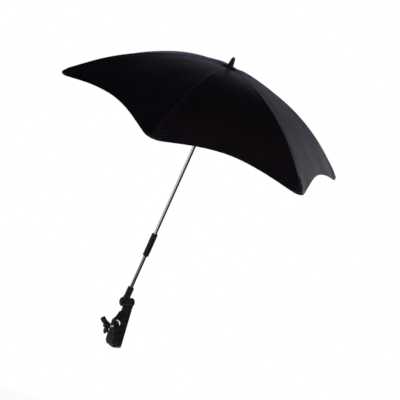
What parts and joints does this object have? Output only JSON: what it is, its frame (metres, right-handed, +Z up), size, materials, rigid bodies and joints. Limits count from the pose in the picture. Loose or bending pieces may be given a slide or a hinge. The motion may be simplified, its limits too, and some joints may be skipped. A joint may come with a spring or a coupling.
{
  "type": "pram parasol",
  "caption": "Pram parasol: folding dark canopy on a slim chromed shaft with a sliding joint sleeve, a tilting and swivelling knuckle and a screw clamp that grips a pram tube.",
  "frame": {"origin": "centre of the pram tube in the clamp's seat", "axes": "+Z up the parasol's shaft, -X to the clamp's wing screw"},
  "size_m": [0.6068, 0.6997, 0.7552],
  "materials": {
    "canopy_cloth": "satin woven",
    "rib_steel": "gloss black",
    "bright_steel": "zinc plated",
    "chromed_tube": "chromed",
    "black_plastic": "moulded, fine grain",
    "black_rubber": "matt"
  },
  "bodies": {
    "clamp": {"clamp_body": "black_plastic", "seat_rubber": "black_rubber", "snap_tongue": "black_plastic", "jaw_pin": "rib_steel"},
    "front_jaw": {"front_jaw": "black_plastic", "screw_nut": "bright_steel"},
    "pressure_pad": {"pressure_pad": "black_plastic", "pad_rubber": "black_rubber"},
    "wing_screw": {"wing_screw": "bright_steel", "wing_knob": "black_plastic"},
    "swivel": {"swivel_base": "black_plastic", "knuckle_bolt": "bright_steel", "knuckle_cap": "black_plastic", "swivel_bolt": "bright_steel"},
    "knuckle_knob": {"knuckle_knob": "black_plastic"},
    "shaft": {"arm_socket": "black_plastic", "lower_tube": "chromed_tube", "lower_joint": "bright_steel", "upper_joint": "bright_steel", "bend_pin": "bright_steel", "upper_tube": "chromed_tube", "crown": "black_plastic", "crown_wire": "bright_steel", "ferrule": "black_plastic", "top_washer": "black_plastic"},
    "shaft_sleeve": {"shaft_sleeve": "black_plastic"},
    "runner": {"runner": "black_plastic"},
    "runner_catch": {"runner_catch": "bright_steel"},
    "rib_1": {"rib_1": "rib_steel", "rib_rivet_1": "bright_steel", "rib_tip_1": "black_plastic", "canopy_gore_1": "canopy_cloth"},
    "stretcher_1": {"stretcher_1": "rib_steel"},
    "rib_2": {"rib_2": "rib_steel", "rib_rivet_2": "bright_steel", "rib_tip_2": "black_plastic", "canopy_gore_2": "canopy_cloth"},
    "stretcher_2": {"stretcher_2": "rib_steel"},
    "rib_3": {"rib_3": "rib_steel", "rib_rivet_3": "bright_steel", "rib_tip_3": "black_plastic", "canopy_gore_3": "canopy_cloth"},
    "stretcher_3": {"stretcher_3": "rib_steel"},
    "rib_4": {"rib_4": "rib_steel", "rib_rivet_4": "bright_steel", "rib_tip_4": "black_plastic", "canopy_gore_4": "canopy_cloth"},
    "stretcher_4": {"stretcher_4": "rib_steel"},
    "rib_5": {"rib_5": "rib_steel", "rib_rivet_5": "bright_steel", "rib_tip_5": "black_plastic", "canopy_gore_5": "canopy_cloth"},
    "stretcher_5": {"stretcher_5": "rib_steel"},
    "rib_6": {"rib_6": "rib_steel", "rib_rivet_6": "bright_steel", "rib_tip_6": "black_plastic", "canopy_gore_6": "canopy_cloth"},
    "stretcher_6": {"stretcher_6": "rib_steel"}
  },
  "joints": [
    {"name": "jaw_swing", "type": "hinge", "parent": "clamp", "child": "front_jaw", "pos_m": [-0.012, -0.00763, -0.03927], "axis": [0, -0.9816, 0.1908], "range_deg": [0, 75], "deforming": ["snap_tongue"]},
    {"name": "pad_slide", "type": "slide", "parent": "front_jaw", "child": "pressure_pad", "axis": [1, 0, 0], "range_m": [0, 0.006]},
    {"name": "wing_turn", "type": "hinge", "parent": "pressure_pad", "child": "wing_screw", "pos_m": [0, 0, 0], "axis": [1, 0, 0], "range_deg": [0, 1728.01]},
    {"name": "swivel_turn", "type": "hinge", "parent": "clamp", "child": "swivel", "pos_m": [0.007, 0.00843, 0.04339], "axis": [0, 0.1908, 0.9816], "continuous": true},
    {"name": "knuckle_tilt", "type": "hinge", "parent": "swivel", "child": "shaft", "pos_m": [-0.0064, 0.01164, 0.05988], "axis": [1, 0, 0], "range_deg": [-86, 64]},
    {"name": "knob_turn", "type": "hinge", "parent": "swivel", "child": "knuckle_knob", "pos_m": [-0.0064, 0.01164, 0.05988], "axis": [-1, 0, 0], "range_deg": [0, 540]},
    {"name": "sleeve_slide", "type": "slide", "parent": "shaft", "child": "shaft_sleeve", "axis": [0, 0, 1], "range_m": [0, 0.045]},
    {"name": "runner_slide", "type": "slide", "parent": "shaft", "child": "runner", "axis": [0, 0, -1], "range_m": [0, 0.26269], "deforming": ["canopy_gore_1", "canopy_gore_2", "canopy_gore_3", "canopy_gore_4", "canopy_gore_5", "canopy_gore_6", "runner_catch"]},
    {"name": "catch_press", "type": "hinge", "parent": "shaft", "child": "runner_catch", "pos_m": [-0.005, 0.01164, 0.5343], "axis": [0, -1, 0], "range_deg": [0, 7.5], "stiffness_Nm_per_rad": 0.4},
    {"name": "rib_fold_1", "type": "hinge", "parent": "shaft", "child": "rib_1", "pos_m": [-0.0064, 0.00264, 0.67208], "axis": [1, 0, 0], "range_deg": [0, 65.38]},
    {"name": "stretcher_fold_1", "type": "hinge", "parent": "rib_1", "child": "stretcher_1", "pos_m": [-0.0064, -0.16767, 0.63184], "axis": [-1, 0, 0], "range_deg": [0, 130.77]},
    {"name": "rib_fold_2", "type": "hinge", "parent": "shaft", "child": "rib_2", "pos_m": [0.00139, 0.00714, 0.67208], "axis": [0.5, 0.866, 0], "range_deg": [0, 65.38]},
    {"name": "stretcher_fold_2", "type": "hinge", "parent": "rib_2", "child": "stretcher_2", "pos_m": [0.14889, -0.07802, 0.63184], "axis": [-0.5, -0.866, 0], "range_deg": [0, 130.77]},
    {"name": "rib_fold_3", "type": "hinge", "parent": "shaft", "child": "rib_3", "pos_m": [0.00139, 0.01614, 0.67208], "axis": [-0.5, 0.866, 0], "range_deg": [0, 65.38]},
    {"name": "stretcher_fold_3", "type": "hinge", "parent": "rib_3", "child": "stretcher_3", "pos_m": [0.14889, 0.10129, 0.63184], "axis": [0.5, -0.866, 0], "range_deg": [0, 130.77]},
    {"name": "rib_fold_4", "type": "hinge", "parent": "shaft", "child": "rib_4", "pos_m": [-0.0064, 0.02064, 0.67208], "axis": [-1, 0, 0], "range_deg": [0, 65.38]},
    {"name": "stretcher_fold_4", "type": "hinge", "parent": "rib_4", "child": "stretcher_4", "pos_m": [-0.0064, 0.19095, 0.63184], "axis": [1, 0, 0], "range_deg": [0, 130.77]},
    {"name": "rib_fold_5", "type": "hinge", "parent": "shaft", "child": "rib_5", "pos_m": [-0.01419, 0.01614, 0.67208], "axis": [-0.5, -0.866, 0], "range_deg": [0, 65.38]},
    {"name": "stretcher_fold_5", "type": "hinge", "parent": "rib_5", "child": "stretcher_5", "pos_m": [-0.16169, 0.10129, 0.63184], "axis": [0.5, 0.866, 0], "range_deg": [0, 130.77]},
    {"name": "rib_fold_6", "type": "hinge", "parent": "shaft", "child": "rib_6", "pos_m": [-0.01419, 0.00714, 0.67208], "axis": [0.5, -0.866, 0], "range_deg": [0, 65.38]},
    {"name": "stretcher_fold_6", "type": "hinge", "parent": "rib_6", "child": "stretcher_6", "pos_m": [-0.16169, -0.07802, 0.63184], "axis": [-0.5, 0.866, 0], "range_deg": [0, 130.77]}
  ],
  "couplings": [
    {"joint": "wing_turn", "follows": "pad_slide", "rad_per_m": 5026.5},
    {"joint": "rib_fold_1", "follows": "runner_slide", "rad_per_m": 4.3434},
    {"joint": "stretcher_fold_1", "follows": "runner_slide", "rad_per_m": 8.6868},
    {"joint": "rib_fold_2", "follows": "runner_slide", "rad_per_m": 4.3434},
    {"joint": "stretcher_fold_2", "follows": "runner_slide", "rad_per_m": 8.6868},
    {"joint": "rib_fold_3", "follows": "runner_slide", "rad_per_m": 4.3434},
    {"joint": "stretcher_fold_3", "follows": "runner_slide", "rad_per_m": 8.6868},
    {"joint": "rib_fold_4", "follows": "runner_slide", "rad_per_m": 4.3434},
    {"joint": "stretcher_fold_4", "follows": "runner_slide", "rad_per_m": 8.6868},
    {"joint": "rib_fold_5", "follows": "runner_slide", "rad_per_m": 4.3434},
    {"joint": "stretcher_fold_5", "follows": "runner_slide", "rad_per_m": 8.6868},
    {"joint": "rib_fold_6", "follows": "runner_slide", "rad_per_m": 4.3434},
    {"joint": "stretcher_fold_6", "follows": "runner_slide", "rad_per_m": 8.6868}
  ]
}
